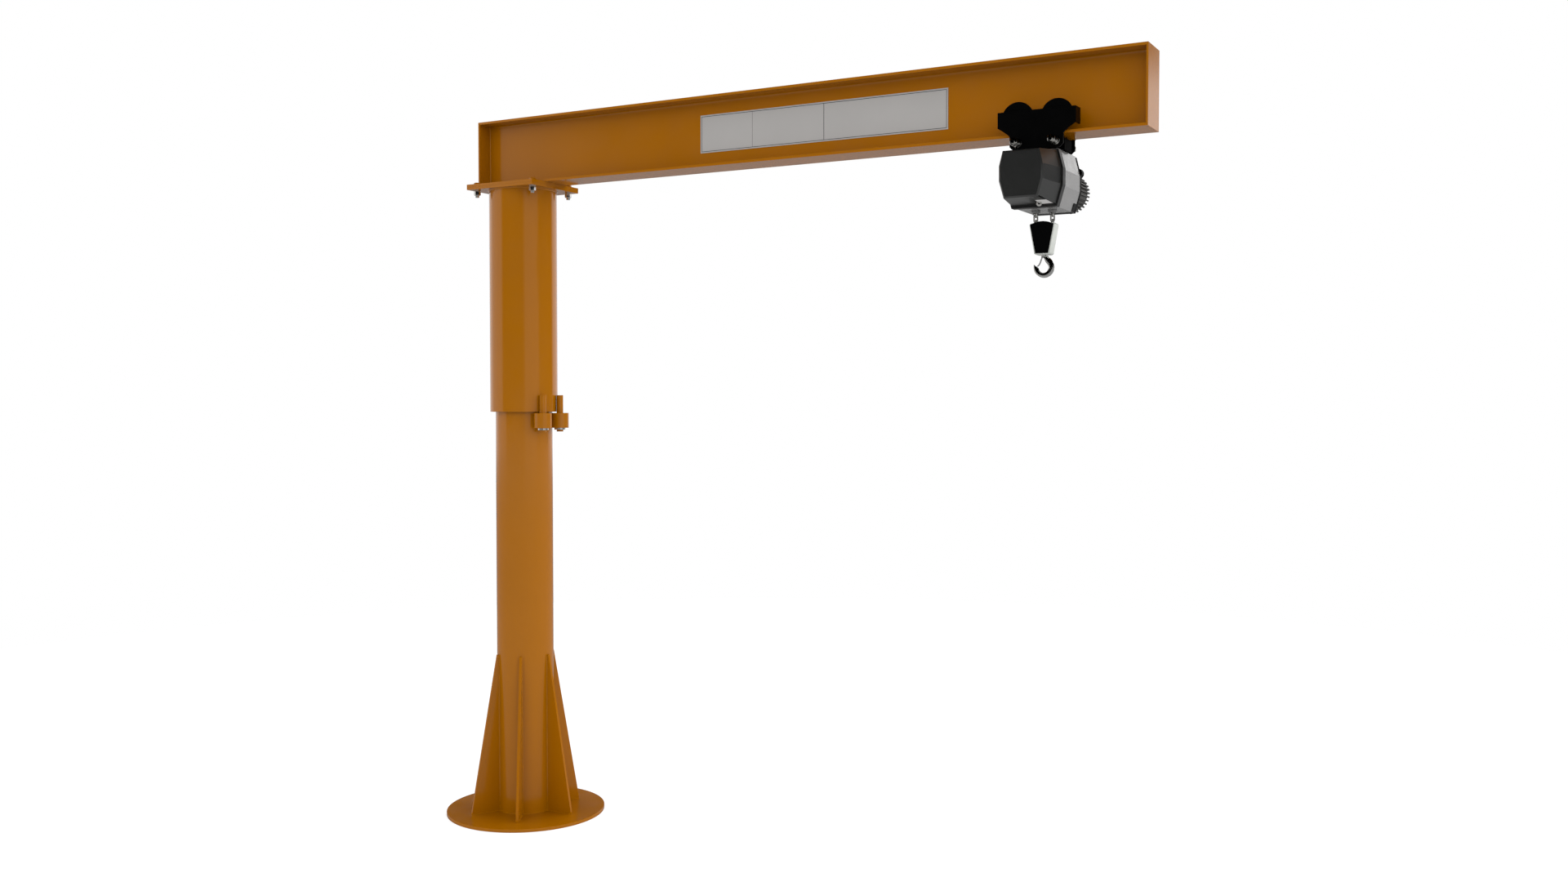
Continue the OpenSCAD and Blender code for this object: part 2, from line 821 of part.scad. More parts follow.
// Angles between which the inside leaves its circle for the neck's inner corner, the angle
// past which it leaves it for the tip, and how sharply it does so
neck_from = 30;
neck_to = 94;
tip_from = -137;
neck_power = 4;
tip_power = 7;
// Angle at which the outside turns up into the shoulder, and how far it has grown there
shoulder_angle = 68;
shoulder_grow = 4;
// Angle at which the hook is narrowest below its tip, and width of the blunt tip itself
narrow_angle = -132;
tip_blunt = 1.5;
// Share of the way round after which the hook gets thinner
thin_from = 0.75;
// Share of the section's smaller side that its bevels take
section_bevel = 0.28;
function hook_angle(i) = neck_angle + (tip_angle - neck_angle) * i / hook_steps;
function neck_rise(a) = pow((a - neck_from) / (neck_to - neck_from), neck_power);
function tip_rise(a) = pow((tip_from - a) / (tip_from - tip_angle), tip_power);
function inner_r(a) = hook_bowl_r
    + (a > neck_from ? (hook_eye_h - hook_bowl_r) * neck_rise(a) : 0)
    + (a < tip_from ? hook_tip_out * tip_rise(a) : 0);
back_r = hook_bowl_r + hook_back_w;
narrow_r = hook_bowl_r + hook_tip_w;
point_r = hook_bowl_r + hook_tip_out + tip_blunt;
shoulder_h = hook_eye_h + hook_shoulder;
function outer_r(a) = a > shoulder_angle ? shoulder_h / sin(a)
    : a > 0 ? back_r + shoulder_grow * pow(a / shoulder_angle, 2)
    : a > narrow_angle ? back_r + (narrow_r - back_r) * a / narrow_angle
    : narrow_r + (point_r - narrow_r) * (narrow_angle - a) / (narrow_angle - tip_angle);
// The inside never comes nearer to the outside than the blunt tip's width
function inside_r(a) = min(inner_r(a), outer_r(a) - tip_blunt);
function thick_at(s) = s < thin_from ? hook_t
    : hook_t + (hook_tip_t - hook_t) * (s - thin_from) / (1 - thin_from);
// Eight-sided section with bevelled corners, w wide and t thick
section_sides = 8;
function hook_section(w, t) = let (b = section_bevel * min(w, t))
    [[0, t / 2 - b], [b, t / 2], [w - b, t / 2], [w, t / 2 - b],
     [w, b - t / 2], [w - b, -t / 2], [b, -t / 2], [0, b - t / 2]];
function hook_ring(i) = let (a = hook_angle(i), r = inside_r(a))
    [for (p = hook_section(outer_r(a) - r, thick_at(i / hook_steps)))
        [(r + p[0]) * cos(a), p[1], (r + p[0]) * sin(a)]];

module hook() {
    rings = hook_steps + 1;
    points = [for (i = [0:hook_steps]) each hook_ring(i)];
    n = section_sides;
    sides = [for (i = [0:rings - 2], j = [0:n - 1])
        [i * n + j, (i + 1) * n + j, (i + 1) * n + (j + 1) % n, i * n + (j + 1) % n]];
    color("black")
    translate([trolley_x, 0, bowl_z]) {
        polyhedron(points = points, faces = concat([[for (j = [0:n - 1]) j]], sides,
            [[for (j = [n - 1:-1:0]) (rings - 1) * n + j]]));
        translate([0, 0, hook_eye_h])
        cylinder(d = shank_d, h = hook_shoulder + hook_neck + shank_in);
    }
}

// The latch turns on a small barrel in the neck's inner corner, under the shank, and
// closes on the inside of the tip
latch_barrel_r = latch_barrel_d / 2;
latch_rest_angle = -191;
latch_pivot = [-latch_barrel_in, hook_eye_h - latch_barrel_r - seat_gap];
latch_end = (inside_r(latch_rest_angle) - latch_t / 2 - seat_gap)
    * [cos(latch_rest_angle), sin(latch_rest_angle)];
latch_vec = latch_end - latch_pivot;

module safety_latch() {
    color("silver")
    translate([trolley_x + latch_pivot[0], latch_w / 2, bowl_z + latch_pivot[1]])
    rotate([90, 0, 0]) {
        cylinder(r = latch_barrel_r, h = latch_w);
        rotate([0, 0, atan2(latch_vec[1], latch_vec[0])])
        translate([0, -latch_t / 2, 0])
        cube([norm(latch_vec), latch_t, latch_w]);
    }
}

base_plate();
gusset(1);  // gusset_1
gusset(2);  // gusset_2
gusset(3);  // gusset_3
gusset(4);  // gusset_4
gusset(5);  // gusset_5
gusset(6);  // gusset_6
mast_pipe();
mast_cap();
thrust_washer();
pivot_pin();
sleeve();
pivot_hub();
sleeve_plate();
boom_seat_plate();
boom_beam();
heel_plate();
tip_plate();
roller_pin(1);  // roller_pin_left
roller_pin(-1);  // roller_pin_right
guide_roller(1);  // guide_roller_left
guide_roller(-1);  // guide_roller_right
trolley_plate_front();
trolley_plate_back();
wheel(-1, -1);  // wheel_front_inner
wheel(1, -1);  // wheel_front_outer
wheel(-1, 1);  // wheel_back_inner
wheel(1, 1);  // wheel_back_outer
suspension_rod(-1);  // suspension_rod_left
suspension_rod(1);  // suspension_rod_right
suspension_lug();
hoist_front_cover();
hoist_rim();
hoist_body();
hoist_end_plate();
motor_housing();
cable_entry();
chain_guide();
load_chain();
hook_block();
block_cheek_front();
block_cheek_back();
hook();
safety_latch();
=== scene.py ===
import json
import math

import bmesh
import bpy
import numpy as np
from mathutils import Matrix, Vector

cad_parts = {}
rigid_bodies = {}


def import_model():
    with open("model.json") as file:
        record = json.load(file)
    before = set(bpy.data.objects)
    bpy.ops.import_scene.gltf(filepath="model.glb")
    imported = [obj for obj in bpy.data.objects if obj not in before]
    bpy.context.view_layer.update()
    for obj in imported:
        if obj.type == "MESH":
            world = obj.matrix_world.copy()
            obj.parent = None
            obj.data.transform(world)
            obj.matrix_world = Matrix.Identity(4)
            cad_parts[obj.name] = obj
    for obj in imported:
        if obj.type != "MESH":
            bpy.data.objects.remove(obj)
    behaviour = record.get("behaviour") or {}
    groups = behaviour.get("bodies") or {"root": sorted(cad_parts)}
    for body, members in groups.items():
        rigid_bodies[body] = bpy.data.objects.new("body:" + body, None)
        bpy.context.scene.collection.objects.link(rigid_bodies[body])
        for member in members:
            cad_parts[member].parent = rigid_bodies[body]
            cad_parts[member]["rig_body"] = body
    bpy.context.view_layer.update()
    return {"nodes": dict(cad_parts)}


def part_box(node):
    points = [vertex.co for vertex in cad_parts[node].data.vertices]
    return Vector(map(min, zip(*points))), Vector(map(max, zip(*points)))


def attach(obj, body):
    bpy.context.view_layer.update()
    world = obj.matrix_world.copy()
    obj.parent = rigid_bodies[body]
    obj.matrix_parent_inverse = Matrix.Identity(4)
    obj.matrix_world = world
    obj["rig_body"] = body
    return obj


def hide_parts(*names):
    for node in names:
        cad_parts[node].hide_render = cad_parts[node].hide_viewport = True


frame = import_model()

# ---- Camera, studio light and floor ----
# The crane stands on a plain white floor in a round studio: bright walls behind it and to
# its sides, a dark room behind the camera, and one wide soft lamp low on the right.
EYE = (4.4516, -5.4491, 2.0168)
EYE_TILT, EYE_TURN = 88.307, 28.87
EYE_LENS = 32.57
camera = bpy.data.objects.new("camera", bpy.data.cameras.new("camera"))
camera.location = EYE
camera.rotation_euler = (math.radians(EYE_TILT), 0, math.radians(EYE_TURN))
camera.data.lens = EYE_LENS
bpy.context.scene.collection.objects.link(camera)
bpy.context.scene.camera = camera
bpy.context.scene.view_settings.view_transform = "Standard"


def wired(tree, kind, *feeds, **settings):
    """A node of that kind; each feed goes to the next socket: a socket joins it, a value
    sets it, and None leaves it."""
    new = tree.nodes.new(kind)
    for name, value in settings.items():
        setattr(new, name, value)
    for socket, feed in zip(new.inputs, feeds):
        if isinstance(feed, bpy.types.NodeSocket):
            tree.links.new(feed, socket)
        elif feed is not None:
            socket.default_value = feed
    return new


def sums(tree, operation, a, b=None, c=None):
    """The result of one arithmetic node."""
    return wired(tree, "ShaderNodeMath", a, b, c, operation=operation).outputs[0]


def ramped(tree, value, stops):
    """A colour ramp through (place, grey) or (place, colour) stops."""
    ramp = wired(tree, "ShaderNodeValToRGB", value)
    band = ramp.color_ramp.elements
    while len(band) < len(stops):
        band.new(0.5)
    for stop, (place, colour) in zip(band, stops):
        stop.position = place
        stop.color = (*colour, 1) if isinstance(colour, tuple) else (colour, colour, colour, 1)
    return ramp.outputs[0]


# What the walls send to shiny surfaces, by the angle round the room in degrees
WALL_GLOSS = [(-180, 0.7), (-131, 0.7), (-126, 0), (-51, 0), (-46, 0.42), (-1, 0.42), (4, 0),
              (59, 0), (69, 1), (174, 1), (179, 0.7)]
# The same by the sine of the height: below the floor's edge, at the walls, overhead
FLOOR_EDGE = -0.03
HEIGHT_GLOSS = [(-1, 0.32), (2 * FLOOR_EDGE, 0.32), (FLOOR_EDGE, 1), (0.205, 1), (0.235, 0), (1, 0)]
# A bright panel high on the left wall, by the same two measures
PANEL_TURN = [(66, 0), (72, 1), (100, 1), (108, 0)]
PANEL_RISE = [(0.24, 0), (0.26, 1), (0.33, 1), (0.36, 0)]
PANEL_GLOSS = 2.1
# Soft light on matt surfaces: strength at the walls, its lean to the right and the back,
# the share of it that is lost on the way up to straight overhead, and the light from below
WALL_LIGHT, LEAN_X, LEAN_Y = 2.27, 0.08, 0.30
OVERHEAD_LOSS = 0.66
FLOOR_GLOW = 0.64


def by_turn(stops):
    """Ramp stops from pairs of an angle round the room in degrees and a strength."""
    return [(0.5 + degrees / 360, strength) for degrees, strength in stops]


def by_rise(stops):
    """Ramp stops from pairs of the sine of a height and a strength."""
    return [(0.5 + 0.5 * sine, strength) for sine, strength in stops]


room = bpy.data.worlds.new("studio")
bpy.context.scene.world = room
room.use_nodes = True
room.cycles.sampling_method = "NONE"
tree = room.node_tree
tree.nodes.clear()
ray = wired(tree, "ShaderNodeLightPath").outputs
aim = wired(tree, "ShaderNodeSeparateXYZ",
            wired(tree, "ShaderNodeTexCoord").outputs["Generated"]).outputs
turn = sums(tree, "MULTIPLY_ADD", sums(tree, "ARCTAN2", aim["Y"], aim["X"]), 0.5 / math.pi, 0.5)
rise = sums(tree, "MULTIPLY_ADD", aim["Z"], 0.5, 0.5)
walls = ramped(tree, turn, by_turn(WALL_GLOSS))
height = ramped(tree, rise, by_rise(HEIGHT_GLOSS))
above = sums(tree, "GREATER_THAN", aim["Z"], FLOOR_EDGE)
panel = sums(tree, "MULTIPLY", ramped(tree, turn, by_turn(PANEL_TURN)),
             ramped(tree, rise, by_rise(PANEL_RISE)))
round_walls = sums(tree, "MULTIPLY", sums(tree, "MULTIPLY", walls, height), above)
below = sums(tree, "MULTIPLY", height, sums(tree, "SUBTRACT", 1.0, above))
gloss = sums(tree, "MULTIPLY_ADD", panel, PANEL_GLOSS, sums(tree, "ADD", round_walls, below))
lean = sums(tree, "ADD", sums(tree, "MULTIPLY", aim["X"], LEAN_X),
            sums(tree, "MULTIPLY_ADD", aim["Y"], LEAN_Y, WALL_LIGHT))
soft = sums(tree, "MULTIPLY", lean, sums(tree, "MULTIPLY_ADD", aim["Z"], -OVERHEAD_LOSS, 1.0))
matt = sums(tree, "ADD", sums(tree, "MULTIPLY", soft, sums(tree, "GREATER_THAN", aim["Z"], 0.0)),
            sums(tree, "MULTIPLY", sums(tree, "LESS_THAN", aim["Z"], 0.0), FLOOR_GLOW))
lit = sums(tree, "ADD", sums(tree, "MULTIPLY", gloss, ray["Is Glossy Ray"]),
           sums(tree, "MULTIPLY", matt, sums(tree, "SUBTRACT", 1.0, ray["Is Glossy Ray"])))
straight = sums(tree, "MAXIMUM", ray["Is Camera Ray"], ray["Is Transmission Ray"])
glow = sums(tree, "ADD", straight,
            sums(tree, "MULTIPLY", lit, sums(tree, "SUBTRACT", 1.0, straight)))
wired(tree, "ShaderNodeOutputWorld",
      wired(tree, "ShaderNodeBackground", (1, 1, 1, 1), glow).outputs[0])

LAMP_TURN, LAMP_RISE, LAMP_SPREAD, LAMP_POWER = 30, 10, 60, 0.56
lamp = bpy.data.objects.new("soft_lamp", bpy.data.lights.new("soft_lamp", "SUN"))
lamp.rotation_euler = (math.radians(90 - LAMP_RISE), 0, math.radians(90 + LAMP_TURN))
lamp.data.angle = math.radians(LAMP_SPREAD)
lamp.data.energy = LAMP_POWER
lamp.visible_glossy = False
bpy.context.scene.collection.objects.link(lamp)

FLOOR_R, FLOOR_X = 8.0, 1.3
FLOOR_STEPS = 96
# The floor's own glow towards the camera, and the share of the light on it that it gives
# back to the camera, to shiny surfaces and to matt ones
FLOOR_WHITE, FLOOR_SHADE = 0.72, 0.32
FLOOR_GLOSS, FLOOR_MATT = 0.28, 0.68
around = np.linspace(0, 2 * math.pi, FLOOR_STEPS, endpoint=False)
ground = bpy.data.meshes.new("floor")
ground.from_pydata(np.stack([FLOOR_X + FLOOR_R * np.cos(around), FLOOR_R * np.sin(around),
                             0 * around], -1).tolist(), [], [list(range(FLOOR_STEPS))])
floor = bpy.data.objects.new("floor", ground)
bpy.context.scene.collection.objects.link(floor)
paper = bpy.data.materials.new("floor_white")
paper.use_nodes = True
tree = paper.node_tree
tree.nodes.clear()
ray = wired(tree, "ShaderNodeLightPath").outputs
seen = sums(tree, "ADD", sums(tree, "MULTIPLY", ray["Is Camera Ray"], FLOOR_SHADE),
            sums(tree, "ADD", sums(tree, "MULTIPLY", ray["Is Glossy Ray"], FLOOR_GLOSS),
                 sums(tree, "MULTIPLY", ray["Is Diffuse Ray"], FLOOR_MATT)))
own = wired(tree, "ShaderNodeEmission", (1, 1, 1, 1),
            sums(tree, "MULTIPLY", ray["Is Camera Ray"], FLOOR_WHITE)).outputs[0]
shade = wired(tree, "ShaderNodeBsdfDiffuse",
              wired(tree, "ShaderNodeCombineColor", seen, seen, seen).outputs[0]).outputs[0]
wired(tree, "ShaderNodeOutputMaterial",
      wired(tree, "ShaderNodeAddShader", own, shade).outputs[0])
ground.materials.append(paper)

# ---- Base plate, gussets and mast ----
# A round steel plate carries a welded pipe column, held upright by six tapered gussets.
# Everything is welded, then sprayed with a glossy orange enamel.
NOISE_LOW, NOISE_HIGH = 0.3, 0.7


def finish(name, colour, roughness, metallic=0.0, ior=1.5, tint=0.03, tint_size=0.25,
           gloss_spread=0.03, gloss_size=0.06, grain=0.0, grain_size=0.003):
    """A surface finish on Object coordinates. Colour = colour * (1 +- tint) and roughness
    = roughness +- gloss_spread, each by its own noise; grain is the height of a finer
    noise that the surface is bumped by."""
    coat = bpy.data.materials.new(name)
    coat.use_nodes = True
    tree = coat.node_tree
    skin = tree.nodes["Principled BSDF"]
    skin.inputs["Metallic"].default_value = metallic
    skin.inputs["IOR"].default_value = ior
    spot = wired(tree, "ShaderNodeTexCoord").outputs["Object"]

    def noise(size, detail):
        return wired(tree, "ShaderNodeTexNoise", spot, None, 1 / size, detail).outputs[0]

    shades = [(place, tuple(c * (1 + change) for c in colour))
              for place, change in ((NOISE_LOW, -tint), (NOISE_HIGH, tint))]
    tree.links.new(ramped(tree, noise(tint_size, 3), shades), skin.inputs["Base Color"])
    wander = wired(tree, "ShaderNodeMapRange", noise(gloss_size, 4), NOISE_LOW, NOISE_HIGH,
                   roughness - gloss_spread, roughness + gloss_spread).outputs[0]
    tree.links.new(wander, skin.inputs["Roughness"])
    if grain:
        bump = wired(tree, "ShaderNodeBump")
        tree.links.new(noise(grain_size, 2), bump.inputs["Height"])
        bump.inputs["Distance"].default_value = grain
        bump.inputs["Strength"].default_value = 1
        tree.links.new(bump.outputs[0], skin.inputs["Normal"])
    return coat


def placed(name, mesh, material, sharp):
    """An object of that mesh: one material, smooth but for edges sharper than the angle."""
    mesh.materials.clear()
    mesh.materials.append(material)
    mesh.shade_smooth()
    mesh.set_sharp_from_angle(angle=math.radians(sharp))
    thing = bpy.data.objects.new(name, mesh)
    bpy.context.scene.collection.objects.link(thing)
    return thing


JOIN_GAP, FLAT_ANGLE, PLUG_SLACK, ROUNDING_STEPS = 1e-5, 0.3, 0.0001, 3


def eased(node, radius, material, sharp=35, plugs=()):
    """The node's own surface with its loose triangles joined, flat faces cleared of inner
    edges, and every edge sharper than the angle rounded to the radius. Each plug (x, y,
    bore radius, floor height) takes out an upright pocket and closes its mouth flat."""
    mesh = frame["nodes"][node].data.copy()
    shell = bmesh.new()
    shell.from_mesh(mesh)
    bmesh.ops.remove_doubles(shell, verts=shell.verts, dist=JOIN_GAP)
    for x, y, bore, floor_z in plugs:
        pocket = [face for face in shell.faces
                  if all(math.hypot(v.co.x - x, v.co.y - y) < bore + PLUG_SLACK
                         and v.co.z > floor_z - PLUG_SLACK for v in face.verts)]
        bmesh.ops.delete(shell, geom=pocket, context="FACES")
    if plugs:
        bmesh.ops.holes_fill(shell, edges=[edge for edge in shell.edges if edge.is_boundary])
        bmesh.ops.recalc_face_normals(shell, faces=shell.faces)
    bmesh.ops.dissolve_limit(shell, angle_limit=math.radians(FLAT_ANGLE), verts=shell.verts,
                             edges=shell.edges)
    shell.to_mesh(mesh)
    shell.free()
    skin = placed(node + "_finished", mesh, material, sharp)
    if radius:
        soften = skin.modifiers.new("soft_edges", "BEVEL")
        soften.width = radius
        soften.segments = ROUNDING_STEPS
        soften.limit_method = "ANGLE"
        soften.angle_limit = math.radians(sharp)
        soften.harden_normals = True
    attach(skin, frame["nodes"][node]["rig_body"])
    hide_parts(node)


SEAM_GAP = 1e-6


def made(name, surfaces, material, body, sharp=40):
    """One piece from surfaces, each a grid of points with rows along it and points across
    it. Four neighbours make a face; a surface is (grid, closed along, closed across), and
    the open ends of a surface closed across are capped."""
    points, faces, first = [], [], 0
    for grid, along, across in surfaces:
        rows, count = grid.shape[:2]
        i, j = np.meshgrid(np.arange(rows - (not along)), np.arange(count - (not across)),
                           indexing="ij")
        i2, j2 = (i + 1) % rows, (j + 1) % count
        corners = [i * count + j, i * count + j2, i2 * count + j2, i2 * count + j]
        faces += (first + np.stack(corners, -1)).reshape(-1, 4).tolist()
        if across and not along:
            ring = first + np.arange(count)
            faces += [ring[::-1].tolist(), (ring + (rows - 1) * count).tolist()]
        points.append(grid.reshape(-1, 3))
        first += rows * count
    mesh = bpy.data.meshes.new(name)
    mesh.from_pydata(np.concatenate(points).tolist(), [], faces)
    shell = bmesh.new()
    shell.from_mesh(mesh)
    bmesh.ops.remove_doubles(shell, verts=shell.verts, dist=SEAM_GAP)
    bmesh.ops.recalc_face_normals(shell, faces=shell.faces)
    shell.to_mesh(mesh)
    shell.free()
    piece = placed(name, mesh, material, sharp)
    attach(piece, body)
    return piece


BEAD_SINK, BEAD_RIPPLE, BEAD_SWELL, BEAD_END = 0.0003, 0.006, 0.03, 0.4
BEAD_ACROSS, BEAD_POWER = 5, 1.3


def bead(path, up, out, leg, loop=False):
    """A weld bead along the corner line path, its legs along the directions up and out.
    Across it runs root + leg * (up * cos(a) ** 1.3 + out * sin(a) ** 1.3) for a from 0 to
    90 degrees; along it the leg swells by 3% once in each ripple, and thins at open ends."""
    path, up, out = (np.broadcast_to(v, path.shape) for v in (path, up, out))
    a = np.linspace(0, math.pi / 2, BEAD_ACROSS)[None, :, None]
    swell = 1 + BEAD_SWELL * (np.arange(len(path)) % 2)
    if not loop:
        swell[[0, -1]] = BEAD_END
    size = (leg * swell)[:, None, None]
    root = (path - BEAD_SINK * (up + out))[:, None, :]
    face = root + size * (up[:, None, :] * np.cos(a) ** BEAD_POWER
                          + out[:, None, :] * np.sin(a) ** BEAD_POWER)
    return np.concatenate([face, root], axis=1), loop, True


def spaced(start, end):
    """Points from start to end, two to each ripple of a bead."""
    start, end = np.array(start, float), np.array(end, float)
    count = max(4, 2 * int(np.linalg.norm(end - start) / BEAD_RIPPLE) + 1)
    return start + (end - start) * np.linspace(0, 1, count)[:, None]


def ring_bead(radius, height, leg, up):
    """A bead outside the circle round the Z axis at that radius and height; up is +1 or -1."""
    count = 2 * int(2 * math.pi * radius / BEAD_RIPPLE)
    a = np.linspace(0, 2 * math.pi, count, endpoint=False)
    spoke = np.stack([np.cos(a), np.sin(a), 0 * a], -1)
    path = radius * spoke + np.array([0, 0, height])
    return bead(path, np.array([0, 0, up]), spoke, leg, loop=True)


ORANGE = (0.315, 0.106, 0.0)
orange = finish("orange_enamel", ORANGE, 0.13, tint=0.025, tint_size=0.4, gloss_spread=0.025,
                gloss_size=0.12, grain=0.00006, grain_size=0.006)
eased("base_plate", 0.0015, orange)
GUSSETS = 6
for number in range(1, GUSSETS + 1):
    eased(f"gusset_{number}", 0.001, orange)
eased("mast_pipe", 0, orange)
eased("mast_cap", 0, orange)

BASE_LEG, GUSSET_LEG = 0.0045, 0.0025
base_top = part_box("base_plate")[1].z
mast_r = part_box("mast_pipe")[1].x
gusset_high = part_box("gusset_1")[1]
gusset_side = gusset_high.y
gusset_top = gusset_high.z
corner_x = math.sqrt(mast_r ** 2 - gusset_side ** 2)
UP = np.array([0, 0, 1.0])
beads = [ring_bead(mast_r, base_top, BASE_LEG, 1)]
for number in range(GUSSETS):
    heading = math.radians(360 / GUSSETS * number)
    spoke = np.array([math.cos(heading), math.sin(heading), 0])
    across = np.array([-math.sin(heading), math.cos(heading), 0])
    for side in (-1, 1):
        corner = side * gusset_side * across + spoke * corner_x
        outer = side * gusset_side * across + spoke * gusset_high.x
        foot = spaced(outer + base_top * UP, corner + base_top * UP)
        riser = spaced(corner + base_top * UP, corner + gusset_top * UP)
        beads += [bead(foot, UP, side * across, GUSSET_LEG),
                  bead(riser, spoke, side * across, GUSSET_LEG)]
made("base_welds", beads, orange, "mast")

# ---- Pivot ----
# A turned steel pin stands on the mast's cap; the boom's hub turns on it and rests on a
# bronze washer. The sleeve hides them from the side.
BRONZE = (0.30, 0.16, 0.05)
TURNED_STEEL = (0.42, 0.42, 0.41)
bronze = finish("turned_bronze", BRONZE, 0.35, metallic=1, tint=0.06, tint_size=0.03, grain=0.00003,
                grain_size=0.001)
turned_steel = finish("turned_steel", TURNED_STEEL, 0.3, metallic=1, tint=0.04, tint_size=0.02,
                      grain=0.00003, grain_size=0.001)
eased("thrust_washer", 0.0005, bronze)
eased("pivot_pin", 0.001, turned_steel)
eased("pivot_hub", 0.001, turned_steel)

# ---- Sleeve and head plates ----
# The sleeve is a length of larger pipe that hangs over the mast from the head plate. The
# boom's own seat plate lies on that plate; both are cut plate, sprayed orange.
SLEEVE_LEG, SEAT_LEG, SEAT_BARE = 0.006, 0.005, 0.01
eased("sleeve", 0.001, orange)
eased("sleeve_plate", 0.001, orange)
eased("boom_seat_plate", 0.001, orange)
sleeve_low, sleeve_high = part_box("sleeve")
head_low, head_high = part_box("boom_seat_plate")
beam_low, beam_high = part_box("boom_beam")
seat_top = head_high.z
beads = [ring_bead(sleeve_high.x, sleeve_high.z, SLEEVE_LEG, -1)]
for side in (-1, 1):
    seam = spaced((head_low.x + SEAT_BARE, side * beam_high.y, seat_top),
                  (head_high.x - SEAT_BARE, side * beam_high.y, seat_top))
    beads.append(bead(seam, UP, np.array([0, side, 0.0]), SEAT_LEG))
made("head_welds", beads, orange, "jib")

# ---- Head bolts ----
# Four bolts clamp the boom's seat plate to the sleeve's plate. Their heads on top were
# sprayed with the boom; the deep plated nuts below were fitted after it.


def turned(profile, centre, axis="Z", steps=40, flats=None, twist=0.0):
    """A profile of (radius, height) turned about the Z or Y axis through centre. With flats,
    the radius at angle a from the twist is at most (flats / 2) / cos(((a + 30) mod 60) - 30)."""
    r, h = (np.array(profile, float).T[k][:, None] for k in (0, 1))
    a = np.linspace(0, 2 * math.pi, steps, endpoint=False)[None, :]
    if flats:
        sector = math.pi / 3
        r = np.minimum(r, flats / 2 / np.cos((a + sector / 2) % sector - sector / 2))
    x, y, along = r * np.cos(a + twist), r * np.sin(a + twist), h + 0 * a
    local = {"Z": (x, y, along), "Y": (x, along, y)}[axis]
    return np.stack(local, -1) + np.array(centre, float), False, True


NUT_CHAMFER, NUT_STEPS = 0.08, 48


def hexagon(flats, low, high, centre, axis="Z", twist=0.0):
    """A nut or a bolt head: a hexagon cut by a cone of 30 degrees at both ends. The
    profile steps along the cone, so that each flat ends in its curved chamfer."""
    face_r, corner_r = flats / 2 * (1 - NUT_CHAMFER), flats / math.sqrt(3)
    cone_r = face_r + (corner_r - face_r) * np.linspace(0, 1, 4)
    cone_h = (cone_r - face_r) * math.tan(math.radians(30))
    profile = [(0, low)] + [(r, low + h) for r, h in zip(cone_r, cone_h)]
    profile += [(r, high - h) for r, h in zip(cone_r[::-1], cone_h[::-1])] + [(0, high)]
    return turned(profile, centre, axis, steps=NUT_STEPS, flats=flats, twist=twist)


THREAD_DEPTH, THREAD_STEPS = 0.6, 24


def threaded(radius, low, high, pitch, centre):
    """A threaded rod end: radius at angle a and height h is radius - depth * pitch *
    |2 * frac(h / pitch - a / turn) - 1|, four rows to a pitch, with a bevelled tip."""
    rows = max(3, int(4 * (high - low) / pitch))
    h = np.linspace(low, high, rows)[:, None]
    a = np.linspace(0, 2 * math.pi, THREAD_STEPS, endpoint=False)[None, :]
    wave = np.abs(2 * ((h / pitch - a / (2 * math.pi)) % 1) - 1)
    r = radius - THREAD_DEPTH * pitch * wave
    r[[0, -1]] = radius - THREAD_DEPTH * pitch
    local = (r * np.cos(a), r * np.sin(a), h + 0 * a)
    return np.stack(local, -1) + np.array(centre, float), False, True


def washer(outer, inner, low, high, centre, axis="Z", edge=0.0004):
    """A flat ring with both outer edges bevelled: its section turned and closed round."""
    profile = [(inner, low), (outer - edge, low), (outer, low + edge), (outer, high - edge),
               (outer - edge, high), (inner, high)]
    grid, _, _ = turned(profile, centre, axis)
    return grid, True, True


ZINC = (0.80, 0.79, 0.76)
zinc = finish("bright_zinc", ZINC, 0.12, metallic=1, tint=0.05, tint_size=0.012, gloss_spread=0.03,
              gloss_size=0.008, grain=0.00002, grain_size=0.002)
BOLT_EDGE_X, BOLT_EDGE_Y, BOLT_TWIST = 0.030, 0.041, math.radians(8)
BOLT_R, BOLT_FLATS, BOLT_PITCH = 0.010, 0.028, 0.0025
HEAD_H, NUT_H, BOLT_END, WASHER_R, WASHER_T = 0.0115, 0.021, 0.010, 0.017, 0.003
plate_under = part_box("sleeve_plate")[0].z
heads, nuts = [], []
for sx in (-1, 1):
    for sy in (-1, 1):
        spot = (sx * (head_high.x - BOLT_EDGE_X), sy * (head_high.y - BOLT_EDGE_Y), 0)
        nut_top = plate_under - WASHER_T
        heads.append(hexagon(BOLT_FLATS, seat_top, seat_top + HEAD_H, spot, twist=BOLT_TWIST))
        nuts += [washer(WASHER_R, BOLT_R, nut_top, plate_under, spot),
                 hexagon(BOLT_FLATS, nut_top - NUT_H, nut_top, spot, twist=BOLT_TWIST),
                 threaded(BOLT_R, nut_top - NUT_H - BOLT_END, seat_top, BOLT_PITCH, spot)]
made("head_bolt_heads", heads, orange, "jib", sharp=25)
made("head_bolt_nuts", nuts, zinc, "jib", sharp=25)

# ---- Guide rollers ----
# Two plain steel rollers run on the mast below the sleeve. Each turns on a bar welded
# along the sleeve and is kept up by a plated ring.
RING_R, RING_T, RING_UNDER, RING_OVER, RING_PLAY = 0.0275, 0.009, 0.003, 0.001, 0.0001
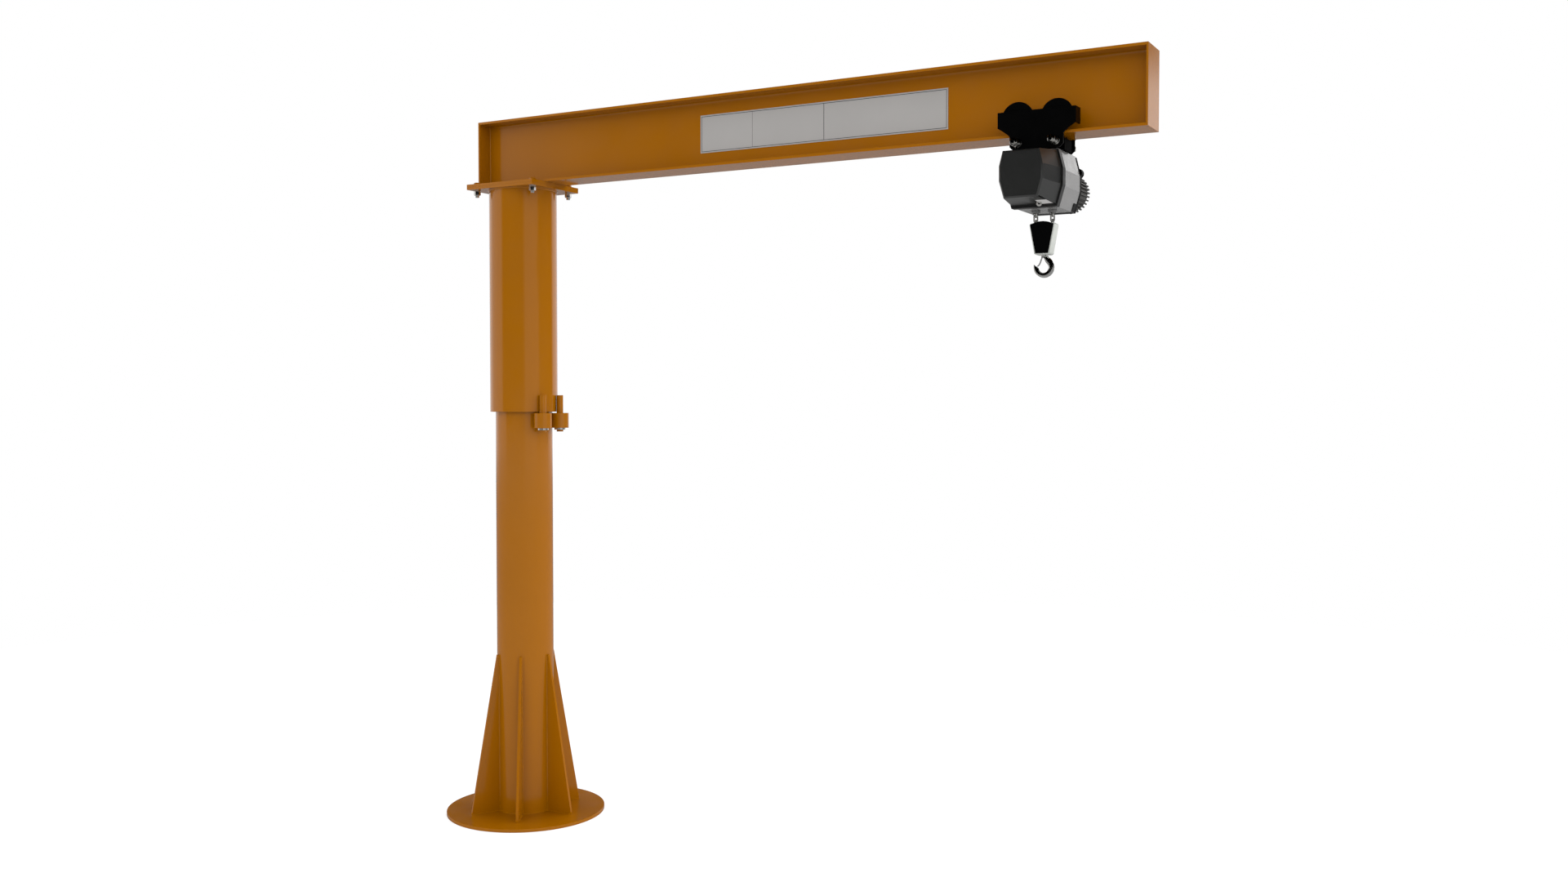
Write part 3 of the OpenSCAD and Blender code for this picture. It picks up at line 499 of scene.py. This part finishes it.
# The bar's beads: leg, bare length at each end, and how far the two legs lean inwards and
# outwards
PIN_LEG, PIN_BARE, LEAN_IN, LEAN_OUT = 0.005, 0.004, 0.13, 0.43
rings, beads = [], []
for side in ("left", "right"):
    eased(f"roller_pin_{side}", 0.0012, orange)
    eased(f"guide_roller_{side}", 0.0015, orange)
    roller_low, roller_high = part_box(f"guide_roller_{side}")
    pin_low, pin_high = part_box(f"roller_pin_{side}")
    spot = (roller_low + roller_high) / 2
    pin_r = (pin_high.x - pin_low.x) / 2
    bore, top = pin_r + RING_PLAY, roller_low.z - RING_PLAY
    ring, _, _ = turned([(bore, top - RING_T), (RING_R - RING_UNDER, top - RING_T),
                         (RING_R, top - RING_T + RING_UNDER), (RING_R, top - RING_OVER),
                         (RING_R - RING_OVER, top), (bore, top)], (spot.x, spot.y, 0))
    rings.append((ring, True, True))
    spoke = np.array([spot.x, spot.y, 0]) / math.hypot(spot.x, spot.y)
    along = np.array([-spoke[1], spoke[0], 0])
    root = spoke * (sleeve_high.x + math.hypot(spot.x, spot.y) - pin_r) / 2
    seam = spaced(root + (sleeve_low.z + PIN_BARE) * UP, root + (pin_high.z - PIN_BARE) * UP)
    beads += [bead(seam, way * along - LEAN_IN * spoke, way * along + LEAN_OUT * spoke, PIN_LEG)
              for way in (-1, 1)]
made("roller_rings", rings, zinc, "jib")
made("roller_pin_welds", beads, orange, "jib")

# ---- Boom ----
# A rolled wide-flange beam with a cut plate welded over each end. It is welded to the seat
# plate and sprayed orange with it.
END_LEG, WEB_HALF, FLANGE_T = 0.004, 0.0033, 0.0097
eased("boom_beam", 0.0012, orange)
eased("heel_plate", 0.001, orange)
eased("tip_plate", 0.001, orange)
beads = []
for face, way in ((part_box("heel_plate")[1].x, 1), (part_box("tip_plate")[0].x, -1)):
    inward = np.array([way, 0, 0.0])
    under, over = beam_low.z + FLANGE_T, beam_high.z - FLANGE_T
    for side in (-1, 1):
        web, rim = side * WEB_HALF, side * (beam_high.y - END_LEG)
        for start, end, out in (((web, under), (web, over), np.array([0, side, 0.0])),
                                ((web, under), (rim, under), UP),
                                ((web, over), (rim, over), -UP)):
            beads.append(bead(spaced((face, *start), (face, *end)), inward, out, END_LEG))
made("boom_end_welds", beads, orange, "jib")

# ---- Sign ----
# A thin enamelled sheet on the web's front, with a printed border and two dividing lines.
# It carries no text.
SIGN_X, SIGN_Z, SIGN_T, SIGN_EDGE = (1.021, 2.217), (3.122, 3.291), 0.0015, 0.0003
LINE_T, LINE_W, LINE_IN, LINE_EDGE = 0.0002, 0.0022, 0.0055, 0.0001
DIVIDERS = ((1.644, 0.0022), (1.290, 0.0012))
SIGN_GREY, LINE_BLACK = (0.375, 0.365, 0.355), (0.012, 0.012, 0.013)
web_face = -WEB_HALF
sign_grey = finish("sign_enamel", SIGN_GREY, 0.4, tint=0.02, tint_size=0.3)
line_black = finish("line_print", LINE_BLACK, 0.45, tint=0.1, tint_size=0.1)


def at_depth(outline, y):
    """The points (x, z) of an outline, set at that y."""
    return np.stack([outline[:, 0], 0 * outline[:, 0] + y, outline[:, 1]], -1)


def slab(x, y, z, edge):
    """A flat plate between (low, high) pairs: its outline drawn in by edge at both faces."""
    out = np.array([(x[0], z[0]), (x[1], z[0]), (x[1], z[1]), (x[0], z[1])], float)
    mid = out.mean(0)
    inner = out - edge * np.sign(out - mid)
    rows = ((inner, y[0]), (out, y[0] + edge), (out, y[1] - edge), (inner, y[1]))
    return np.stack([at_depth(outline, depth) for outline, depth in rows]), False, True


sign_front = web_face - SIGN_T
made("sign_plate", [slab(SIGN_X, (sign_front, web_face), SIGN_Z, SIGN_EDGE)], sign_grey, "jib")
left, right = SIGN_X[0] + LINE_IN, SIGN_X[1] - LINE_IN
bottom, top = SIGN_Z[0] + LINE_IN, SIGN_Z[1] - LINE_IN
drawn = [((left, right), (bottom, bottom + LINE_W)), ((left, right), (top - LINE_W, top)),
         ((left, left + LINE_W), (bottom, top)), ((right - LINE_W, right), (bottom, top))]
drawn += [((x, x + width), (bottom, top)) for x, width in DIVIDERS]
made("sign_lines", [slab(x, (sign_front - LINE_T, sign_front + LINE_T), z, LINE_EDGE)
                    for x, z in drawn], line_black, "jib")

# ---- Trolley plates and wheels ----
# Two side plates of cut and bent sheet, painted black, hang beside the beam's lower flange.
# Each carries two turned steel wheels, on stub axles, that run on that flange.
BLACK = (0.0013, 0.0013, 0.0014)
black = finish("black_enamel", BLACK, 0.42, ior=1.15, tint=0.15, tint_size=0.05, gloss_spread=0.05,
               gloss_size=0.03, grain=0.00004, grain_size=0.003)
eased("trolley_plate_front", 0.0012, black)
eased("trolley_plate_back", 0.0012, black)
for place in ("front_inner", "front_outer", "back_inner", "back_outer"):
    eased(f"wheel_{place}", 0.0008, black)

# ---- Suspension rods and lug ----
# Two plated rods pass through the side plates and the hoist's lug. Their threaded ends
# carry a washer and nuts on both sides.
ROD_FLATS, ROD_NUT_H, ROD_WASHER_R = 0.030, 0.016, 0.0185
OUTER_NUT_AT, OUTER_NUT_H = 0.012, 0.010
lug_black = finish("lug_paint", BLACK, 0.5, ior=1.04)
eased("suspension_lug", 0.002, lug_black)
nut_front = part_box("trolley_plate_front")[0].y - WASHER_T
nut_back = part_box("trolley_plate_back")[1].y + WASHER_T
rod_parts = []
for side in ("left", "right"):
    rod_low, rod_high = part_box(f"suspension_rod_{side}")
    spot = ((rod_low.x + rod_high.x) / 2, 0, (rod_low.z + rod_high.z) / 2)
    rod_r = (rod_high.x - rod_low.x) / 2
    outer_nut = rod_low.y + OUTER_NUT_AT
    eased(f"suspension_rod_{side}", 0.001, zinc)
    rod_parts += [
        washer(ROD_WASHER_R, rod_r, nut_front, nut_front + WASHER_T, spot, "Y"),
        hexagon(ROD_FLATS, nut_front - ROD_NUT_H, nut_front, spot, "Y"),
        hexagon(ROD_FLATS, outer_nut, outer_nut + OUTER_NUT_H, spot, "Y"),
        washer(ROD_WASHER_R, rod_r, nut_back - WASHER_T, nut_back, spot, "Y"),
        hexagon(ROD_FLATS, nut_back, nut_back + ROD_NUT_H, spot, "Y")]
made("rod_nuts", rod_parts, zinc, "trolley", sharp=25)

# ---- Hoist ----
# A silver painted gear case between a moulded grey cover in front and a finned motor
# behind, with a black rim and end plate and two round guides for the chain.
COVER_GREY = (0.0112, 0.0120, 0.0112)
RIM_BLACK = (0.0075, 0.0073, 0.0070)
SILVER = (0.18, 0.178, 0.176)
MOTOR_GREY = (0.038, 0.036, 0.033)
cover_grey = finish("cover_plastic", COVER_GREY, 0.33, ior=1.9, tint=0.05, tint_size=0.03,
                    gloss_spread=0.02, grain=0.00002, grain_size=0.0012)
rim_black = finish("rim_paint", RIM_BLACK, 0.4, tint=0.08, tint_size=0.05, grain=0.00003)
silver = finish("silver_paint", SILVER, 0.24, tint=0.03, tint_size=0.05, grain=0.00006,
                grain_size=0.002)
motor_grey = finish("motor_paint", MOTOR_GREY, 0.45, tint=0.08, tint_size=0.04, grain=0.00008)
eased("hoist_front_cover", 0.003, cover_grey, sharp=25)
eased("hoist_rim", 0.002, rim_black, sharp=25)
eased("hoist_body", 0.0015, silver, sharp=25)
eased("hoist_end_plate", 0.0015, black, sharp=25)
eased("motor_housing", 0, motor_grey)
eased("cable_entry", 0.001, black)
eased("chain_guide", 0.001, silver)
hoist_low, hoist_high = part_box("hoist_body")
hoist_x = (hoist_low.x + hoist_high.x) / 2

# ---- Load chain ----
# Calibrated round-link chain, each link bent from wire and welded, then plated. The slack
# end's last link hangs from a plate in the cover's underside, coloured pale as painted light
# in the shaded outlet.
eased("load_chain", 0, zinc, sharp=60)

LINK_R, LINK_BEND, LINK_STRAIGHT = 0.0034, 0.0076, 0.0116
LINK_ROWS, LINK_SIDES = 40, 12


def link(centre, heading):
    """One welded link: a wire of radius LINK_R round the outline of two half circles of
    radius LINK_BEND and two straights between them, upright and turned about Z."""
    t = np.linspace(0, 2 * math.pi, LINK_ROWS, endpoint=False)
    shift = np.where(np.sin(t) >= 0, 1, -1) * LINK_STRAIGHT / 2
    spine = np.stack([LINK_BEND * np.cos(t), 0 * t, LINK_BEND * np.sin(t) + shift], -1)[:, None]
    out = np.stack([np.cos(t), 0 * t, np.sin(t)], -1)[:, None]
    b = np.linspace(0, 2 * math.pi, LINK_SIDES, endpoint=False)[None, :, None]
    grid = spine + LINK_R * (np.cos(b) * out + np.sin(b) * np.array([0, 1.0, 0]))
    c, s = math.cos(heading), math.sin(heading)
    return grid @ np.array([[c, s, 0], [-s, c, 0], [0, 0, 1]]) + centre, True, True


# The plate's pale colour is painted light: it makes the shaded inside of the outlet read as the lit
# silver case.
PLATE_PAINTED_LIGHT = (0.62, 0.61, 0.60)
PLATE_LEFT, PLATE_UP, PLATE_T, PLATE_SLOPE, PLATE_EDGE = 0.0305, 0.0095, 0.0015, 0.0625, 0.0003
# Three places along the outlet: (y, how far its right edge is from the hoist's middle)
OUTLET_BACK, OUTLET_MID, OUTLET_FRONT = (-0.127, 0.0785), (-0.205, 0.0755), (-0.272, 0.066)
STUB_AT, STUB_TURN = (0.037, -0.172, 0.011), 0.6
plate_painted_light = finish("outlet_painted_light", PLATE_PAINTED_LIGHT, 0.5, tint=0.03, tint_size=0.03)
plate_x, plate_z = hoist_x + PLATE_LEFT, hoist_low.z + PLATE_UP
for name, (back, wide), (front, narrow), coat, slot in (
        ("slack_plate", OUTLET_BACK, OUTLET_MID, plate_painted_light, "block_silver"),
        ("slack_lip", OUTLET_MID, OUTLET_FRONT, cover_grey, "cover_plastic")):
    plate, _, _ = slab((plate_x, hoist_x + wide), (front, back), (plate_z, plate_z + PLATE_T),
                       PLATE_EDGE)
    taper = (back - plate[..., 1]) / (back - front) * (wide - narrow) / (wide - PLATE_LEFT)
    plate[..., 0] -= (plate[..., 0] - plate_x) * taper
    plate[..., 2] += (OUTLET_BACK[0] - plate[..., 1]) * PLATE_SLOPE
    made(name, [(plate, False, True)], coat, "trolley")
made("slack_chain_end", [link(np.array([hoist_x, 0, hoist_low.z]) + STUB_AT, STUB_TURN)], zinc,
     "trolley")

# ---- Body trim ----
# A black rubber strip under the gear case's rear edge and a small black stop on its lower
# right facet.
STRIP_Y, STRIP_T, STRIP_HALF, STRIP_EDGE = (0.099, 0.128), 0.0015, 0.0815, 0.0004
STOP_Y, STOP_UP, STOP_T, STOP_SINK, STOP_EDGE = (0.087, 0.122), (0.001, 0.033), 0.003, 0.001, 0.0005
FACET_X, FACET_LEAN = 0.0825, 0.0235 / 0.082
made("rear_strip", [slab((hoist_x - STRIP_HALF, hoist_x + STRIP_HALF), STRIP_Y,
                         (hoist_low.z - STRIP_T, hoist_low.z + STRIP_T), STRIP_EDGE)], black,
     "trolley")
stop, _, _ = slab((-STOP_SINK, STOP_T), STOP_Y, STOP_UP, STOP_EDGE)
stop[..., 0] += stop[..., 2] * FACET_LEAN
made("facet_stop", [(stop + [hoist_x + FACET_X, 0, hoist_low.z], False, True)], black,
     "trolley")

# ---- Hook block ----
# A cast steel block, painted silver, hangs on both falls of the chain, with a black cheek
# plate on each face. The falls enter it through two round mouths in its top, closed flat and
# covered by thin black discs: painted shade for the dark holes.
BLOCK_SILVER = (0.60, 0.62, 0.58)
block_silver = finish("block_paint", BLOCK_SILVER, 0.3, metallic=0.3, tint=0.02, tint_size=0.04)
FALL_HALF, POCKET_R, POCKET_DEEP = 0.0345, 0.013, 0.036
MOUTH_R, MOUTH_T, MOUTH_EDGE = 0.0125, 0.0006, 0.0002
block_low, block_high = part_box("hook_block")
block_x = (block_low.x + block_high.x) / 2
falls = (block_x - FALL_HALF, block_x + FALL_HALF)
eased("hook_block", 0.006, block_silver,
      plugs=[(x, 0, POCKET_R, block_high.z - POCKET_DEEP) for x in falls])
# Thin black discs on the closed mouths: painted shade standing in for the holes' dark inside.
made("chain_mouth_shade_discs", [washer(MOUTH_R, MOUTH_EDGE, block_high.z - MOUTH_T, block_high.z, (x, 0, 0),
                             edge=MOUTH_EDGE) for x in falls], black, "trolley")
eased("block_cheek_front", 0.0008, black)
eased("block_cheek_back", 0.0008, black)

# ---- Hook and latch ----
# A forged steel swivel hook turns on its shank below the block. A sprung sheet steel latch,
# hung on a pin through the hook's neck, closes on its tip.
HOOK_STEEL = (0.72, 0.72, 0.70)
hook_steel = finish("forged_steel", HOOK_STEEL, 0.14, metallic=1, tint=0.05, tint_size=0.02)
BOWL_R, BACK_W, TIP_W, TIP_OUT, EYE_H, SHOULDER = 0.020, 0.023, 0.0185, 0.022, 0.045, 0.002
HOOK_T, TIP_T, TIP_BLUNT, SHOULDER_GROW = 0.019, 0.009, 0.0015, 0.004
# Angles round the bowl's centre, in degrees from the back, where the outlines change
NECK_AT, NECK_TO, SHOULDER_AT, NECK_FROM = 96, 94, 68, 30
NARROW_AT, TIP_FROM, TIP_AT = -132, -137, -198
SHANK_R, SHANK_UP, SHANK_EDGE, NECK_GAP = 0.010, 0.020, 0.0005, 0.0035
bowl = np.array([block_x, 0, block_low.z - NECK_GAP - SHOULDER - EYE_H])


def inside_of(a):
    """Radius of the hook's inside at a degrees: the bowl's, plus (eye - bowl) * n ** 4
    where it runs to the neck and out * t ** 7 where it runs to the tip."""
    neck = np.clip((a - NECK_FROM) / (NECK_TO - NECK_FROM), 0, None)
    tip = np.clip((TIP_FROM - a) / (TIP_FROM - TIP_AT), 0, None)
    inside = BOWL_R + (EYE_H - BOWL_R) * neck ** 4 + TIP_OUT * tip ** 7
    return np.minimum(inside, outside_of(a) - TIP_BLUNT)


def outside_of(a):
    """Radius of its outside: wide at the back, narrowing evenly to below the tip, then
    running out to the point; past the shoulder's angle it is flat on top."""
    back, narrow, point = BOWL_R + BACK_W, BOWL_R + TIP_W, BOWL_R + TIP_OUT + TIP_BLUNT
    low = np.where(a > NARROW_AT, back + (narrow - back) * a / NARROW_AT,
                   narrow + (point - narrow) * (NARROW_AT - a) / (NARROW_AT - TIP_AT))
    high = back + SHOULDER_GROW * (a / SHOULDER_AT) ** 2
    flat = (EYE_H + SHOULDER) / np.sin(np.radians(np.clip(a, SHOULDER_AT, NECK_AT)))
    return np.where(a > SHOULDER_AT, flat, np.where(a > 0, high, low))


# The section is an oval of |x| ** power + |y| ** power = 1, thinner over the last part
HOOK_ROWS, HOOK_SIDES, HOOK_POWER, THIN_FROM = 148, 32, 3.2, 0.75
share = np.linspace(0, 1, HOOK_ROWS)[:, None]
angle = NECK_AT + (TIP_AT - NECK_AT) * share
lap = np.linspace(0, 2 * math.pi, HOOK_SIDES, endpoint=False)[None, :]
oval_w = (1 + np.sign(np.cos(lap)) * np.abs(np.cos(lap)) ** (2 / HOOK_POWER)) / 2
oval_t = np.sign(np.sin(lap)) * np.abs(np.sin(lap)) ** (2 / HOOK_POWER) / 2
reach = inside_of(angle) + (outside_of(angle) - inside_of(angle)) * oval_w
thinned = np.clip((share - THIN_FROM) / (1 - THIN_FROM), 0, None)
depth = (HOOK_T + (TIP_T - HOOK_T) * thinned) * oval_t
sweep = np.stack([reach * np.cos(np.radians(angle)), depth,
                  reach * np.sin(np.radians(angle))], -1) + bowl
shank = turned([(SHANK_R - SHANK_EDGE, EYE_H), (SHANK_R, EYE_H + SHANK_EDGE),
                (SHANK_R, EYE_H + SHANK_UP)], bowl)
hook = made("hook_forging", [(sweep, False, True), shank], hook_steel, "hook",
            sharp=50)
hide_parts("hook")

LATCH_T, LATCH_HALF, LATCH_ROWS, LATCH_EASING = 0.0016, 0.006, 31, 6
BARREL_R, BARREL_EDGE = 0.003, 0.0004
# The latch's middle line beside the bowl's centre, from its pin down to the hook's tip
LATCH_LINE = [(-0.0062, 0.0417), (-0.0085, 0.0370), (-0.0118, 0.0285), (-0.0152, 0.0190),
              (-0.0198, 0.0110), (-0.0262, 0.0062)]
line = np.array(LATCH_LINE)
fine = np.linspace(0, len(line) - 1, LATCH_ROWS)
curve = np.stack([np.interp(fine, np.arange(len(line)), line[:, k]) for k in (0, 1)], -1)
for _ in range(LATCH_EASING):
    curve[1:-1] = (curve[:-2] + 2 * curve[1:-1] + curve[2:]) / 4
along = np.gradient(curve, axis=0)
along /= np.linalg.norm(along, axis=1)[:, None]
normal = np.stack([-along[:, 1], along[:, 0]], -1) * LATCH_T / 2
strip = np.stack([at_depth(curve - normal, -LATCH_HALF), at_depth(curve + normal, -LATCH_HALF),
                  at_depth(curve + normal, LATCH_HALF), at_depth(curve - normal, LATCH_HALF)], 1)
barrel = turned([(BARREL_R - BARREL_EDGE, -LATCH_HALF), (BARREL_R, -LATCH_HALF + BARREL_EDGE),
                 (BARREL_R, LATCH_HALF - BARREL_EDGE), (BARREL_R - BARREL_EDGE, LATCH_HALF)],
                bowl + [line[0, 0], 0, line[0, 1]], "Y", steps=24)
latch = made("sprung_latch", [(strip + bowl, False, True), barrel], zinc, "safety_latch")
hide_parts("safety_latch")
